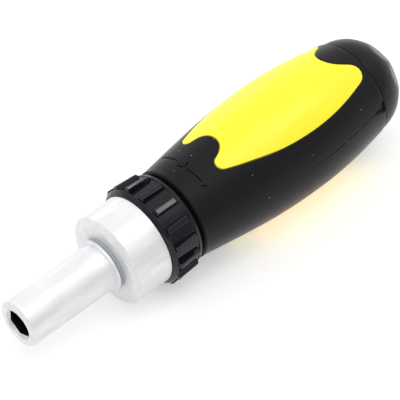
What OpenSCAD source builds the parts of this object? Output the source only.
// Ratcheting screwdriver: a round nose with a quarter-inch hex socket, a reversible
// two-pawl ratchet worked by a ribbed selector collar, and a two-colour handle that
// stores spare bits on a carrier under its end cap.
// The tool lies along X with its nose towards -X and its cap towards +X. +Z runs up
// through the middle of the upper panel. The origin is the centre of the nose's open end.
// Round pieces are drawn along a local axis (see on_axis): there z is the distance from
// the nose end, x is up, and an angle of +90 points at the side where -Y is.

/* [Bit holder] */
// Outer diameter of the nose tube
nose_d = 12; // [11:0.1:13]
// Length of the nose tube in front of its flange
nose_len = 24.7; // [22:0.1:30]
// Diameter of the flange at the foot of the tube
flange_d = 13.6; // [13.2:0.1:15]
// Thickness of the flange
flange_w = 0.8; // [0.6:0.1:1.5]
// Width across the flats of the hex socket
hex_af = 6.45; // [6.4:0.01:6.6]
// Angle of a corner of the hex socket from the top of the tool
hex_at = 13.5; // [0:0.5:59.5]
// Depth of the hex socket, from the nose end to the magnet
hex_depth = 17; // [12:0.5:18]
// Diameter of the round mouth in front of the hex
mouth_d = 7.9; // [7.7:0.1:9]
// Depth of the round mouth
mouth_depth = 1; // [0.5:0.1:2]
// Chamfer at the end of the tube
nose_chamfer = 0.4; // [0.2:0.1:0.8]
// Distance of the bit clip's groove from the nose end
clip_at = 4.5; // [3:0.5:8]
// Diameter of the bit clip's wire
clip_wire = 0.6; // [0.5:0.05:0.8]
// Diameter of the magnet at the bottom of the socket
magnet_d = 6; // [4:0.1:6.2]
// Thickness of the magnet
magnet_w = 2.5; // [1.5:0.1:3]

/* [Spindle and bearings] */
// Height of the gear's tips above the spindle's front journal
journal_step = 1.6; // [1.4:0.05:1.9]
// Diameter of the spindle's rear journal
tail_journal_d = 6; // [5:0.1:7]
// Length of the spindle's spigot inside the tube
spigot_len = 5; // [3:0.1:5.2]
// Height of the journal above the spigot
spigot_step = 0.5; // [0.3:0.05:1]
// Wall of the front bush, with its clearance
bush_wall = 1.5; // [1:0.05:1.7]
// Length of the front bush
bush_len = 8.2; // [6:0.1:8.4]
// Length of the rear bush
rear_bush_len = 6; // [4:0.1:7]
// Thickness of each thrust washer
washer_w = 0.7; // [0.5:0.1:1]
// Thickness of the spindle's circlip
circlip_w = 0.8; // [0.6:0.1:1]
// Width of the pale seal ring round the journal, with its clearance
seal_wall = 2; // [1.8:0.05:2.2]

/* [Ferrule and housing] */
// Gap between the tube's flange and the face of the ferrule
face_gap = 1.1; // [0.8:0.1:2]
// How far the ferrule's surface lies below the wall of the collar
ferrule_low = 0.4; // [0.2:0.05:0.8]
// Length of the ferrule
ferrule_len = 10.2; // [10:0.1:14]
// Diameter of the ferrule's flat face inside its chamfer
face_d = 18.8; // [16:0.1:20]
// Length of the ferrule's front chamfer along the axis
face_chamfer = 0.8; // [0.4:0.1:1.5]
// Diameter of the sleeve that the collar turns on
sleeve_d = 19.4; // [19.3:0.05:19.5]
// Diameter of the housing's tail inside the handle
tail_d = 17.2; // [16:0.1:17.6]
// Length of the housing's tail inside the handle
tail_len = 11; // [9:0.5:14]
// Gap between the gear's tips and the wall of its chamber
chamber_gap = 0.3; // [0.2:0.05:0.4]
// Diameter of the pin that anchors the housing in the handle
anchor_d = 2; // [1.5:0.1:3]

/* [Ratchet] */
// Number of teeth on the ratchet gear, a multiple of eight so that both pawls mesh
tooth_count = 24; // [24:24:24]
// Gap between the gear's tips and the hub of a pawl
gear_gap = 0.75; // [0.7:0.05:0.85]
// Depth of a tooth
tooth_depth = 0.8; // [0.6:0.05:0.9]
// Thickness of the gear from the flats of its bore to the tips
gear_wall = 2.5; // [2.3:0.05:2.6]
// Width of the gear along the axis
gear_w = 8; // [6:0.1:8]
// Depth of each pawl's pin below the sleeve's surface, to its middle
pin_depth = 1.4; // [1.3:0.05:1.5]
// Angle of each pawl's pin from the top of the tool
pawl_at = 97.5; // [97.5:15:112.5]
// Diameter of the pawl pins
pin_d = 1.6; // [1.2:0.1:1.8]
// Thickness of a pawl's hub round its pin
hub_wall = 0.65; // [0.5:0.05:0.7]
// Depth of the spring's floor below the sleeve's surface
floor_depth = 2.5; // [2.4:0.05:2.6]
// Angle that a pawl swings from meshed to lifted
pawl_lift = 11.4; // [10:0.1:11.6]
// Outside diameter of the spring under each pawl's tail
spring_d = 1.1; // [0.9:0.05:1.2]
// Wire diameter of the pawl springs
spring_wire = 0.2; // [0.15:0.05:0.25]

/* [Selector collar] */
// Length of the collar
collar_len = 9.35; // [9:0.05:11]
// Gap between the ferrule and the collar
collar_gap = 0.15; // [0.1:0.05:0.3]
// Gap between the sleeve and the cam where the cam holds a pawl up
press_gap = 0.4; // [0.35:0.05:0.45]
// Gap between the sleeve and the cam where the cam lets a pawl drop
free_drop = 0.9; // [0.85:0.05:1]
// Thickness of the steel cam where it is thinnest
cam_wall = 0.6; // [0.5:0.1:0.8]
// Thickness of the collar's wall round the cam
collar_wall = 0.8; // [0.7:0.1:1]
// Height of the collar's front lip above the wall
lip_h = 0.8; // [0.3:0.05:1]
// Length of the front lip
lip_len = 0.9; // [0.5:0.1:1.5]
// Number of ribs
rib_count = 16; // [12:1:20]
// Angle of the rib that stands at the direction arrow
rib_at = 32.5; // [0:0.5:45]
// Width of a rib at its foot
rib_w = 1.95; // [1.4:0.05:2.4]
// Width of a rib at its top
rib_top = 1.25; // [0.8:0.05:1.4]
// Height of a rib at its front, above the wall
rib_front_h = 1.4; // [0.9:0.05:1.5]
// Height of a rib at its rear, above the wall
rib_rear_h = 1; // [0.6:0.05:1.1]
// Length of the plain rim behind the ribs
rim_len = 1.3; // [1:0.1:2]
// How far the rear rim lies below the wall
rim_low = 0.1; // [0:0.05:0.3]
// Angle between the two end positions of the collar
collar_throw = 65; // [60:1:66]
// Depth of the notches that the detent spring clicks into
notch_depth = 0.4; // [0.3:0.05:0.5]

/* [Handle] */
// Gap between the collar and the handle
handle_gap = 1.1; // [0.9:0.1:2]
// Length of the handle from its front face to the cap's seam
handle_len = 58.2; // [56:0.5:66]
// Diameter of the handle at its front
handle_front_d = 23.9; // [23.6:0.1:25]
// Diameter of the handle at its belly
belly_d = 30.54; // [29.6:0.1:32]
// Distance from the front face to the widest place
belly_at = 35.6; // [33:0.1:38]
// Diameter of the handle at the cap's seam
handle_rear_d = 25.9; // [25.6:0.1:28]
// Thickness of the rubber grip
grip_t = 1.8; // [1.4:0.1:2]
// Depth of the thumb notch at the parting line
notch_cut = 0.9; // [0.4:0.1:1.2]
// Length of the thumb notch
notch_len = 4.4; // [3:0.1:6]

/* [Panel] */
// Distance from the handle's front face to the tips of the panel's two prongs
panel_front = 10.6; // [9:0.1:12]
// Distance from the panel's rear lobes to the cap's seam
panel_rear = 0.95; // [0.6:0.1:2]
// Width of the panel at the belly
panel_w = 25; // [22:0.5:26]
// Distance between the middles of the two prongs
prong_span = 13.4; // [12:0.1:14]
// Depth of the bay between the prongs
bay_depth = 4.8; // [3:0.1:6]
// Depth of the tongue between the rear lobes
tongue_depth = 5.4; // [4:0.1:7]
// Width of the groove between the panel and the grip
panel_gap = 0.35; // [0.2:0.05:0.6]
// How far the panel lies below the grip's surface
panel_low = 0.15; // [0:0.05:0.4]

/* [Cap and bit storage] */
// Diameter of the cap at its seam
cap_d = 25.2; // [24.8:0.1:26]
// Height of the cap's dome
cap_h = 11.8; // [10:0.1:14]
// Gap between the cap and the handle
cap_gap = 0.3; // [0.2:0.05:0.5]
// Number of shallow scallops round the dome
scallop_count = 8; // [6:1:10]
// Depth of a scallop
scallop_depth = 0.55; // [0.2:0.05:0.8]
// Diameter of the storage bore in the handle
store_d = 20.6; // [20.2:0.1:21]
// Length of the cap's plug inside the bore
plug_len = 2.6; // [2.4:0.1:4]
// Number of spare bits on the carrier
bit_count = 5; // [3:1:5]
// Width across the flats of a spare bit
bit_af = 6.35; // [6.3:0.01:6.4]
// Length of a spare bit
bit_len = 25; // [22:0.5:26]
// Distance of the spare bits from the axis
bit_ring_r = 6.4; // [6.3:0.05:6.5]
// Diameter of the cap seal's section
cap_seal_wire = 1.2; // [1:0.05:1.4]

/* [Fits] */
// Radial clearance where one piece turns in another
run_gap = 0.05; // [0.03:0.01:0.08]
// Clearance where one piece is fixed in another
fix_gap = 0.03; // [0.02:0.01:0.05]
// Clearance round the loose pieces of the mechanism
free_gap = 0.25; // [0.15:0.05:0.3]

/* [Hidden] */

$fn = 96;
over = 1;

// Radial chain from the sleeve in to the pins, the gear and its chamber
hub_r = pin_d / 2 + hub_wall;
pivot_r = sleeve_d / 2 - pin_depth;
gear_d = 2 * (pivot_r - hub_r - gear_gap);
hex_drive_af = gear_d - 2 * gear_wall;
chamber_d = gear_d + 2 * chamber_gap;
journal_d = gear_d - 2 * journal_step;
spigot_d = journal_d - 2 * spigot_step;
bush_d = journal_d + 2 * bush_wall;
seal_d = journal_d + 2 * seal_wall;

// Radial chain from the sleeve out through the cam and the collar to the ferrule
cam_press_d = sleeve_d + 2 * press_gap;
cam_free_d = sleeve_d + 2 * free_drop;
cam_d = cam_free_d + 2 * cam_wall;
valley_d = cam_d + 2 * collar_wall;
lip_d = valley_d + 2 * lip_h;
rib_front_d = valley_d + 2 * rib_front_h;
rib_rear_d = valley_d + 2 * rib_rear_h;
rim_d = valley_d - 2 * rim_low;
ferrule_d = valley_d - 2 * ferrule_low;

// Places along the axis, from the nose end
flange_z = nose_len;
holder_end = flange_z + flange_w;
face_z = holder_end + face_gap;
ferrule_end = face_z + ferrule_len;
collar_z = ferrule_end + collar_gap;
collar_end = collar_z + collar_len;
handle_z = collar_end + handle_gap;
seam_z = handle_z + handle_len;
cap_z = seam_z + cap_gap;

// Mechanism: the gear sits between two washers, and the rear bush closes the chamber
seal_w = 0.85;
seal_end = face_z + seal_w;
seal_lead = 0.8;
bush_z = seal_end + fix_gap;
web = 0.8;
chamber_z = ferrule_end - web;
washer_gap = 0.1;
gear_z = chamber_z + washer_w + 2 * washer_gap;
gear_end = gear_z + gear_w;
washer2_z = gear_end + washer_gap;
rear_bush_z = washer2_z + washer_w + washer_gap;
rear_bush_end = rear_bush_z + rear_bush_len;
circlip_z = rear_bush_end + washer_gap;
spindle_end = circlip_z + circlip_w + 0.6;
tail_end = handle_z + tail_len;
anchor_z = (spindle_end + tail_end) / 2 + 0.4;

// Pawls: each lies in a window of the sleeve
window_z = collar_z + 0.65;
window_end = collar_end - 1.6;
pawl_z = window_z + free_gap / 2;
pawl_w = window_end - window_z - free_gap;
pin_z = window_z - 1.6;
pin_end = window_end + 1.4;
pitch = 360 / tooth_count;
pawl_span = 2 * pitch;
band_in = gear_d / 2 + 0.35;
band_out = pivot_r + 0.4;
tail_low = 0.45;
tail_x = sleeve_d / 2 - tail_low - pivot_r;
tail_y = 2.7;
tail_r = 0.8;
tail_at = atan(tail_y / (pivot_r + tail_x));
tail_floor = sleeve_d / 2 - floor_depth;
window_ease = 9;
hub_side = asin(hub_r / pivot_r) + 1;
spring_z = pawl_z + pawl_w / 2;

// Selector: stop lug and detent, as angles round the collar
stop_at = 30;
stop_half = 6;
stop_r = sleeve_d / 2 - 0.55;
detent_at = 178;
notch_half = 5;
leaf_t = 0.3;
leaf_half = 26;
leaf_r = sleeve_d / 2 - 0.65;
leaf_w = 2;
leaf_z = window_end - leaf_w - 0.4;

// Handle and storage
bezier_steps = 12;
store_z = seam_z - plug_len - bit_len - 4;
carrier_z = store_z + free_gap;
carrier_disc = 2;
carrier_end = seam_z - plug_len;
carrier_d = store_d - 2 * free_gap;
carrier_boss_d = 8;
carrier_boss_len = 5;
bit_z = carrier_z + carrier_disc + 0.15;
plug_d = store_d - 0.4;
cap_seal_in = store_d - 2 * run_gap - 2 * cap_seal_wire;
cap_seal_z = seam_z - plug_len / 2;

function bez(a, b, c, d, t) =
    pow(1 - t, 3) * a + 3 * t * pow(1 - t, 2) * b + 3 * t * t * (1 - t) * c + t * t * t * d;
function curve(a, b, c, d) = [for (i = [0 : bezier_steps]) bez(a, b, c, d, i / bezier_steps)];
function limit(v) = max(0, min(1, v));
function polar(r, a) = [r * cos(a), r * sin(a)];

// Puts the local axis on the tool's own: z along +X, x up, y towards -Y
module on_axis(z = 0) rotate([0, 90, 0]) rotate([0, 0, 180]) translate([0, 0, z]) children();

module disc(d, w, z) translate([0, 0, z]) cylinder(d = d, h = w);

module ring(d_out, d_in, w, z) {
    difference() {
        disc(d_out, w, z);
        disc(d_in, w + 2 * over, z - over);
    }
}

module slab(z, w) translate([0, 0, z]) linear_extrude(w) children();

// A piece of pie in the plane, from angle a0 to a1
module sector(r, a0, a1) {
    steps = ceil((a1 - a0) / 15);
    polygon(concat([[0, 0]], [for (i = [0 : steps]) polar(r, a0 + (a1 - a0) * i / steps)]));
}

// ---- bit holder -------------------------------------------------------------------

module hex_hole(af, len, z) translate([0, 0, z]) cylinder(d = af / cos(30), h = len, $fn = 6);

module bit_holder() {
    color([0.86, 0.87, 0.88]) on_axis() difference() {
        rotate_extrude() polygon([
            [0, 0], [nose_d / 2 - nose_chamfer, 0], [nose_d / 2, nose_chamfer],
            [nose_d / 2, flange_z], [flange_d / 2, flange_z], [flange_d / 2, holder_end],
            [0, holder_end]
        ]);
        disc(mouth_d, mouth_depth + over, -over);
        rotate([0, 0, hex_at]) hex_hole(hex_af, hex_depth, 0);
        disc(magnet_d + 2 * fix_gap, magnet_w + fix_gap + over, hex_depth - over);
        disc(hex_af / cos(30) + 0.5, clip_wire + 0.1, clip_at - clip_wire / 2 - 0.05);
        disc(spigot_d + 2 * fix_gap, spigot_len + fix_gap + over, holder_end - spigot_len - fix_gap);
    }
}

module socket_magnet() {
    color([0.55, 0.56, 0.58]) on_axis() disc(magnet_d, magnet_w, hex_depth);
}

// Split wire ring that snaps over a bit
module bit_clip() {
    clip_r = hex_af / 2 / cos(30) + 0.2 - clip_wire / 2;
    color([0.62, 0.62, 0.6]) on_axis(clip_at) rotate([0, 0, 100])
        rotate_extrude(angle = 320) translate([clip_r, 0]) circle(d = clip_wire, $fn = 16);
}

// ---- spindle ----------------------------------------------------------------------

module spindle() {
    color([0.7, 0.71, 0.72]) on_axis() difference() {
        union() {
            disc(spigot_d, spigot_len + over, holder_end - spigot_len);
            disc(journal_d, gear_z - holder_end, holder_end);
            hex_hole(hex_drive_af, gear_w + washer_gap, gear_z - over / 2);
            disc(tail_journal_d, spindle_end - gear_end, gear_end - over / 2);
            disc(tail_journal_d, over, spindle_end - over);
        }
        ring(tail_journal_d + over, tail_journal_d - 1, circlip_w + 0.1, circlip_z - 0.05);
    }
}

module ratchet_gear() {
    tip_half = 0.113 * pitch;
    foot_half = 0.3 * pitch;
    root_r = gear_d / 2 - tooth_depth;
    color([0.45, 0.46, 0.48]) on_axis(gear_z) difference() {
        linear_extrude(gear_w) polygon([
            for (k = [0 : tooth_count - 1], p = [
                [root_r, -foot_half], [gear_d / 2, -tip_half], [gear_d / 2, tip_half], [root_r, foot_half]
            ]) polar(p[0], k * pitch + p[1])
        ]);
        hex_hole(hex_drive_af + 2 * fix_gap, gear_w + 2 * over, -over);
    }
}

module spindle_circlip() {
    color([0.3, 0.3, 0.32]) on_axis(circlip_z) difference() {
        ring(tail_journal_d + 3, tail_journal_d - 0.9, circlip_w, 0);
        translate([0, 0, -over]) linear_extrude(circlip_w + 2 * over) sector(tail_journal_d, -20, 20);
    }
}

module thrust_washers() {
    color([0.75, 0.6, 0.35]) on_axis() {
        ring(chamber_d - 0.6, journal_d + 2 * run_gap, washer_w, chamber_z + washer_gap);
        ring(chamber_d - 0.6, tail_journal_d + 2 * run_gap, washer_w, washer2_z);
    }
}

// ---- housing ----------------------------------------------------------------------

// Opening for a pawl: through to the gear, but with a floor for the spring under its tail
module pawl_window() {
    slab(window_z, window_end - window_z)
        sector(sleeve_d, pawl_at - hub_side, pawl_at + pawl_span + window_ease);
    slab(window_z, window_end - window_z) difference() {
        sector(sleeve_d, pawl_at - tail_at - window_ease, pawl_at - hub_side + 1);
        circle(r = tail_floor);
    }
}

module ratchet_housing() {
    color([0.84, 0.85, 0.86]) on_axis() difference() {
        rotate_extrude() polygon([
            [0, face_z], [face_d / 2, face_z], [ferrule_d / 2, face_z + face_chamfer],
            [ferrule_d / 2, ferrule_end], [sleeve_d / 2, ferrule_end], [sleeve_d / 2, handle_z],
            [tail_d / 2, handle_z], [tail_d / 2, tail_end], [0, tail_end]
        ]);
        disc(seal_d + 2 * fix_gap, seal_w + over, face_z - over);
        disc(bush_d + 2 * fix_gap, chamber_z - seal_end + over, seal_end - over);
        disc(chamber_d, tail_end - chamber_z + over, chamber_z);
        pawl_window();
        mirror([0, 1, 0]) pawl_window();
        for (side = [-1, 1]) rotate([0, 0, side * pawl_at]) translate([pivot_r, 0, 0])
            disc(pin_d + 2 * fix_gap, pin_end - pin_z + 2 * fix_gap, pin_z - fix_gap);
        // pocket for the collar's stop lug
        slab(window_z - 0.1, window_end - window_z + 0.2) difference() {
            sector(sleeve_d, stop_at - stop_half - collar_throw - 1, stop_at + stop_half + 1);
            circle(r = stop_r - 0.15);
        }
        // pocket for the detent spring
        slab(leaf_z - 0.15, leaf_w + 0.3) difference() {
            sector(sleeve_d, detent_at - leaf_half - 3, detent_at + leaf_half + 3);
            circle(r = leaf_r - 0.1);
        }
        translate([0, 0, anchor_z]) rotate([90, 0, 0])
            cylinder(d = anchor_d + 2 * fix_gap, h = tail_d + over, center = true);
    }
}

module nose_seal() {
    color([0.6, 0.62, 0.66]) on_axis()
        ring(seal_d, journal_d + 4 * run_gap, seal_w + seal_lead, face_z - seal_lead);
}

module front_bush() {
    color([0.72, 0.55, 0.3]) on_axis() ring(bush_d, journal_d + 2 * run_gap, bush_len, bush_z);
}

module rear_bush() {
    color([0.72, 0.55, 0.3]) on_axis()
        ring(chamber_d - 2 * fix_gap, tail_journal_d + 2 * run_gap, rear_bush_len, rear_bush_z);
}

module anchor_pin() {
    len = handle_front_d - 4;
    color([0.6, 0.6, 0.62]) on_axis(anchor_z) rotate([90, 0, 0])
        cylinder(d = anchor_d, h = len, center = true);
}

// ---- pawls ------------------------------------------------------------------------

// A pawl, meshed: its pin lies on the x axis, its tooth stands in a gap of the gear at
// pawl_span, and the cam presses on its round tail
module pawl() {
    root_r = gear_d / 2 - tooth_depth;
    tip_half = 0.18;
    foot_half = 0.75;
    foot_r = band_in + 0.3;
    tail = [pivot_r + tail_x, -tail_y];
    difference() {
        union() {
            translate([pivot_r, 0, 0]) disc(2 * hub_r, pawl_w, pawl_z);
            intersection() {
                ring(2 * band_out, 2 * band_in, pawl_w, pawl_z);
                slab(pawl_z, pawl_w) sector(2 * band_out, 0, pawl_span + 6);
            }
            rotate([0, 0, pawl_span]) slab(pawl_z, pawl_w) polygon([
                [root_r + 0.12, -tip_half], [root_r + 0.12, tip_half],
                [foot_r, foot_half], [foot_r, -foot_half]
            ]);
            slab(pawl_z, pawl_w) polygon([
                [pivot_r - 0.3, -0.9], [pivot_r + 1, 0.4],
                [tail[0] + tail_r * 0.9, tail[1] + 0.3], [tail[0] - tail_r * 0.8, tail[1] - 0.4]
            ]);
            translate([tail[0], tail[1], 0]) disc(2 * tail_r, pawl_w, pawl_z);
        }
        translate([pivot_r, 0, 0]) disc(pin_d + 2 * run_gap, pawl_w + 2 * over, pawl_z - over);
    }
}

module pawl_right() {
    color([0.5, 0.51, 0.53]) on_axis() rotate([0, 0, pawl_at]) pawl();
}

// The left pawl mirrors the right one and is held up by the cam
module pawl_left() {
    color([0.5, 0.51, 0.53]) on_axis() mirror([0, 1, 0]) rotate([0, 0, pawl_at])
        translate([pivot_r, 0, 0]) rotate([0, 0, -pawl_lift]) translate([-pivot_r, 0, 0]) pawl();
}

module pawl_pins() {
    color([0.65, 0.65, 0.67]) on_axis() for (side = [-1, 1])
        rotate([0, 0, side * pawl_at]) translate([pivot_r, 0, 0]) disc(pin_d, pin_end - pin_z, pin_z);
}

// Short coils that push each pawl's tail out against the cam
module pawl_spring(lift) {
    x = pivot_r + tail_x * cos(lift) - tail_y * sin(lift);
    y = -tail_x * sin(lift) - tail_y * cos(lift);
    top = norm([x, y]) - tail_r - 0.38;
    rotate([0, 0, atan2(y, x)]) translate([0, 0, spring_z]) rotate([0, 90, 0]) ring(
        spring_d, spring_d - 2 * spring_wire, top - tail_floor - fix_gap, tail_floor + fix_gap
    );
}

module pawl_springs() {
    color([0.75, 0.75, 0.77]) on_axis() {
        rotate([0, 0, pawl_at]) pawl_spring(0);
        mirror([0, 1, 0]) rotate([0, 0, pawl_at]) pawl_spring(pawl_lift);
    }
}

// Bent leaf that clicks into the cam's notches
module detent_spring() {
    peak = cam_press_d / 2 + notch_depth - 0.15;
    function leaf(a) = leaf_r + (peak - leaf_t - leaf_r) * limit(1 - abs(a) / notch_half);
    turns = [for (a = [-leaf_half : 2 : leaf_half]) a];
    color([0.75, 0.75, 0.77]) on_axis(leaf_z) linear_extrude(leaf_w) polygon(concat(
        [for (a = turns) polar(leaf(a), detent_at + a)],
        [for (i = [len(turns) - 1 : -1 : 0]) polar(leaf(turns[i]) + leaf_t, detent_at + turns[i])]
    ));
}

// ---- selector ---------------------------------------------------------------------

module selector_collar() {
    foot_r = valley_d / 2;
    rib_z = collar_z + lip_len;
    rib_end = collar_end - rim_len;
    color([0.09, 0.09, 0.11]) on_axis() difference() {
        union() {
            rotate_extrude() polygon([
                [0, collar_z], [ferrule_d / 2 + 0.1, collar_z], [lip_d / 2, collar_z + lip_len * 0.45],
                [lip_d / 2, collar_z + lip_len], [foot_r, collar_z + lip_len + 0.35],
                [foot_r, rib_end + 0.3], [rim_d / 2, rib_end + 0.45], [rim_d / 2, collar_end - 0.3],
                [rim_d / 2 - 0.3, collar_end], [0, collar_end]
            ]);
            intersection() {
                rotate_extrude() polygon([
                    [0, rib_z], [lip_d / 2 - 0.1, rib_z], [rib_front_d / 2, rib_z + 0.7],
                    [rib_rear_d / 2, rib_end - 0.5], [foot_r, rib_end], [0, rib_end]
                ]);
                translate([0, 0, rib_z]) for (k = [0 : rib_count - 1])
                    rotate([0, 0, rib_at + k * 360 / rib_count]) linear_extrude(rib_end - rib_z) polygon([
                        [foot_r - 0.5, -rib_w / 2 - 0.1], [rib_front_d / 2, -rib_top / 2],
                        [rib_front_d / 2, rib_top / 2], [foot_r - 0.5, rib_w / 2 + 0.1]
                    ]);
            }
        }
        disc(sleeve_d + 2 * run_gap, collar_len + 2 * over, collar_z - over);
        disc(cam_d + 2 * fix_gap, collar_len, window_z - 0.1);
    }
}

// Share of the cam's drop at angle a round the collar: each pawl's tail follows one ramp
function right_drop(a) = let (from = pawl_at - tail_at)
    limit(min((a - from + 12) / 3, 1 - (a - from) / collar_throw));
function left_drop(a) = let (from = collar_throw - pawl_at + tail_at)
    limit(min((from + 12 - a) / 3, 1 - (from - a) / collar_throw));
function notch(a, at) = limit(1 - abs(a - at) / notch_half);
function cam_r(a) = let (
        drop = (cam_free_d - cam_press_d) / 2 * max(right_drop(a), left_drop(a)),
        clicks = max([for (k = [0 : 2]) notch(a, detent_at + k * collar_throw / 2)])
    ) abs(a - stop_at) < stop_half ? stop_r : cam_press_d / 2 + drop + notch_depth * clicks;

module selector_cam() {
    step = 2.5;
    rear_land = 1.25;
    color([0.6, 0.61, 0.63]) on_axis() difference() {
        disc(cam_d, window_end - window_z + rear_land, window_z);
        slab(window_z - over, window_end - window_z + over)
            polygon([for (a = [-102 : step : 257.9]) polar(cam_r(a), a)]);
        disc(sleeve_d + 2 * run_gap, rear_land + over, window_end - 0.1);
    }
}

module collar_ring() {
    color([0.04, 0.04, 0.05]) on_axis()
        ring(rim_d - 1.2, sleeve_d + 2 * fix_gap, handle_gap - 0.15, collar_end + 0.1);
}

// ---- handle -----------------------------------------------------------------------

// Half section of the handle, drawn in by inset, between two places on the axis
function handle_line(inset) =
    let (
        front = [handle_front_d / 2, handle_z + 0.9],
        belly = [belly_d / 2, handle_z + belly_at],
        rear = [handle_rear_d / 2, seam_z],
        swell = (belly_d - handle_front_d) / 2,
        a = curve(front, front + [0.47 * swell, 0.33 * (belly_at - 0.9)],
            belly - [0, 0.38 * (belly_at - 0.9)], belly),
        b = curve(belly, belly + [0, 0.35 * (handle_len - belly_at)],
            rear + [1.4, -0.36 * (handle_len - belly_at)], rear)
    )
    [for (p = concat(a, [for (i = [1 : len(b) - 1]) b[i]])) [p[0] - inset, p[1]]];

module handle_solid(inset, z0, z1, edge) {
    line = handle_line(inset);
    intersection() {
        rotate_extrude() polygon(concat(
            [[0, handle_z - over], [line[0][0], handle_z - over]], line,
            [[line[len(line) - 1][0], seam_z + over], [0, seam_z + over]]
        ));
        rotate_extrude() polygon([
            [0, z0], [line[0][0] - edge, z0], [line[0][0], z0 + edge], [belly_d, z0 + edge + over],
            [belly_d, z1 - edge - over], [line[len(line) - 1][0], z1 - edge],
            [line[len(line) - 1][0] - edge, z1], [0, z1]
        ]);
    }
}

// Half outline of the panel seen from above, drawn in by inset: a bay between two prongs
// in front, a bulging side, and a tongue of the grip between two lobes behind
function panel_half(inset) =
    let (
        tip = handle_z + panel_front + inset,
        lobe = seam_z - panel_rear - inset,
        side = panel_w / 2 - inset,
        prong = prong_span / 2,
        thin = 1.7 - inset,
        bay = tip + bay_depth,
        tongue = lobe - tongue_depth,
        mid = handle_z + belly_at - 1,
        reach = 8,
        inner = [tip + 2.2, prong - thin - 0.2],
        nose = [tip, prong + 0.5],
        outer = [tip + 2.2, prong + thin + 0.15],
        belly = [mid, side],
        corner = [lobe - 2.4, side - 2.8],
        end = [lobe - 0.1, 6.1]
    )
    concat(
        [[bay, 0]],
        curve([bay, 2.2 - inset / 2], [bay, 3.7 - inset], [bay - 1, prong - 2.3 + inset], inner),
        curve(inner, [tip + 0.3, prong - thin + 0.4], [tip - 0.4, prong - 0.4], nose),
        curve(nose, [tip + 0.4, prong + 1.1], [tip + 1.2, prong + thin - 0.3], outer),
        curve(outer, [tip + 9, side - 0.9], belly - [reach, 0], belly),
        curve(belly, belly + [reach, 0], [lobe - 6.6, side - 1.1], corner),
        curve(corner, [lobe - 0.4, side - 3.6], [lobe + 0.5, 7.4], end),
        curve(end, [lobe - 1.3, 3.6 + inset], [tongue, 3.6 + inset], [tongue, 0])
    );

module panel_prism(inset) {
    half = panel_half(inset);
    outline = concat(half, [for (i = [len(half) - 2 : -1 : 1]) [half[i][0], -half[i][1]]]);
    for (turn = [0, 180]) rotate([turn, 0, 0]) linear_extrude(belly_d) polygon(outline);
}

// Hard plastic core: it shows as the panel above and its twin below
module handle_core() {
    core_z = handle_z + 0.6;
    color([0.98, 0.93, 0.18]) difference() {
        union() {
            on_axis() handle_solid(grip_t + fix_gap, core_z, seam_z - 0.1, 0.3);
            intersection() {
                on_axis() handle_solid(panel_low, core_z, seam_z - 0.1, 0.3);
                panel_prism(panel_gap);
            }
        }
        on_axis() {
            disc(tail_d + 2 * fix_gap, tail_len + fix_gap, handle_z);
            disc(store_d, seam_z - store_z + over, store_z);
            translate([0, 0, anchor_z]) rotate([90, 0, 0])
                cylinder(d = anchor_d + 2 * fix_gap, h = handle_front_d - 4 + 2 * fix_gap, center = true);
        }
    }
}

// Rubber moulded over the core, with a thumb notch on each side at the cap's seam
module handle_grip() {
    core_z = handle_z + 0.6;
    color([0.13, 0.13, 0.14]) difference() {
        on_axis() handle_solid(0, handle_z, seam_z, 0.45);
        on_axis() handle_solid(grip_t, core_z - fix_gap, seam_z + over, 0.01);
        on_axis() disc(tail_d + 2 * fix_gap, 2 * over, handle_z - over);
        panel_prism(0);
        for (side = [-1, 1]) on_axis(seam_z) rotate([0, 0, side * 90])
            translate([handle_rear_d / 2 - notch_cut, 0, 0]) rotate([90, 0, 90]) linear_extrude(belly_d)
                polygon([[-1.6, over], [0, -notch_len], [1.6, over]]);
    }
}

// ---- cap and storage --------------------------------------------------------------

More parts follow.
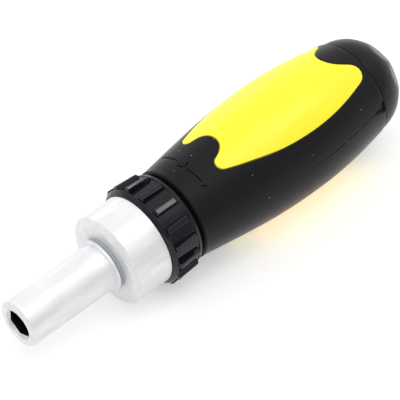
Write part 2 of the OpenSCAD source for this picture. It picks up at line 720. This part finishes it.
module end_cap() {
    dome = [for (i = [0 : 18]) let (a = i * 5) [cap_d / 2 * cos(a), cap_z + cap_h * sin(a)]];
    cutter_r = 9;
    cutter_out = cap_d / 2 * cos(52) + cutter_r;
    color([0.11, 0.11, 0.12]) on_axis() difference() {
        union() {
            rotate_extrude() polygon(concat([[0, cap_z]], dome));
            disc(plug_d, plug_len + cap_gap + 0.2, cap_z - cap_gap - plug_len);
        }
        for (k = [0 : scallop_count - 1]) rotate([0, 0, (k + 0.5) * 360 / scallop_count])
            translate([cutter_out - scallop_depth, 0, cap_z + cap_h * sin(52) + 5]) sphere(r = cutter_r);
        translate([0, 0, cap_seal_z])
            ring(plug_d + over, cap_seal_in - 2 * fix_gap, cap_seal_wire + 0.1, -cap_seal_wire / 2 - 0.05);
        disc(carrier_boss_d + 2 * fix_gap, carrier_boss_len + fix_gap + over, carrier_end - over);
    }
}

module cap_seal() {
    color([0.05, 0.05, 0.05]) on_axis(cap_seal_z) rotate_extrude()
        translate([(cap_seal_in + cap_seal_wire) / 2, 0]) circle(d = cap_seal_wire, $fn = 24);
}

// Star-shaped holder with an open pocket for each bit
module bit_carrier() {
    color([0.2, 0.2, 0.21]) on_axis() {
        difference() {
            disc(carrier_d, carrier_end - carrier_z, carrier_z);
            for (k = [0 : bit_count - 1]) rotate([0, 0, k * 360 / bit_count]) {
                translate([bit_ring_r, 0, bit_z - 0.15]) {
                    rotate([0, 0, 30]) hex_hole(bit_af + 0.2, bit_len + 0.3, 0);
                    translate([0, -bit_af / 2 + 0.3, 0]) cube([bit_ring_r, bit_af - 0.6, bit_len + 0.3]);
                }
            }
        }
        disc(carrier_boss_d, carrier_boss_len, carrier_end);
    }
}

module spare_bits() {
    shank = 0.55 * bit_len;
    neck_d = 5.4;
    color([0.5, 0.5, 0.52]) on_axis() for (k = [0 : bit_count - 1])
        rotate([0, 0, k * 360 / bit_count]) translate([bit_ring_r, 0, 0]) {
            rotate([0, 0, 30]) hex_hole(bit_af, shank, bit_z + bit_len - shank);
            disc(neck_d, bit_len - shank - 2.9, bit_z + 3);
            translate([0, 0, bit_z]) cylinder(d1 = 2, d2 = neck_d, h = 3);
        }
}

bit_holder();
socket_magnet();
bit_clip();
spindle();
ratchet_gear();
spindle_circlip();
ratchet_housing();
nose_seal();
front_bush();
rear_bush();
thrust_washers();
pawl_right();
pawl_left();
pawl_pins();
pawl_springs();
detent_spring();
selector_collar();
selector_cam();
collar_ring();
handle_core();
handle_grip();
anchor_pin();
end_cap();
cap_seal();
bit_carrier();
spare_bits();
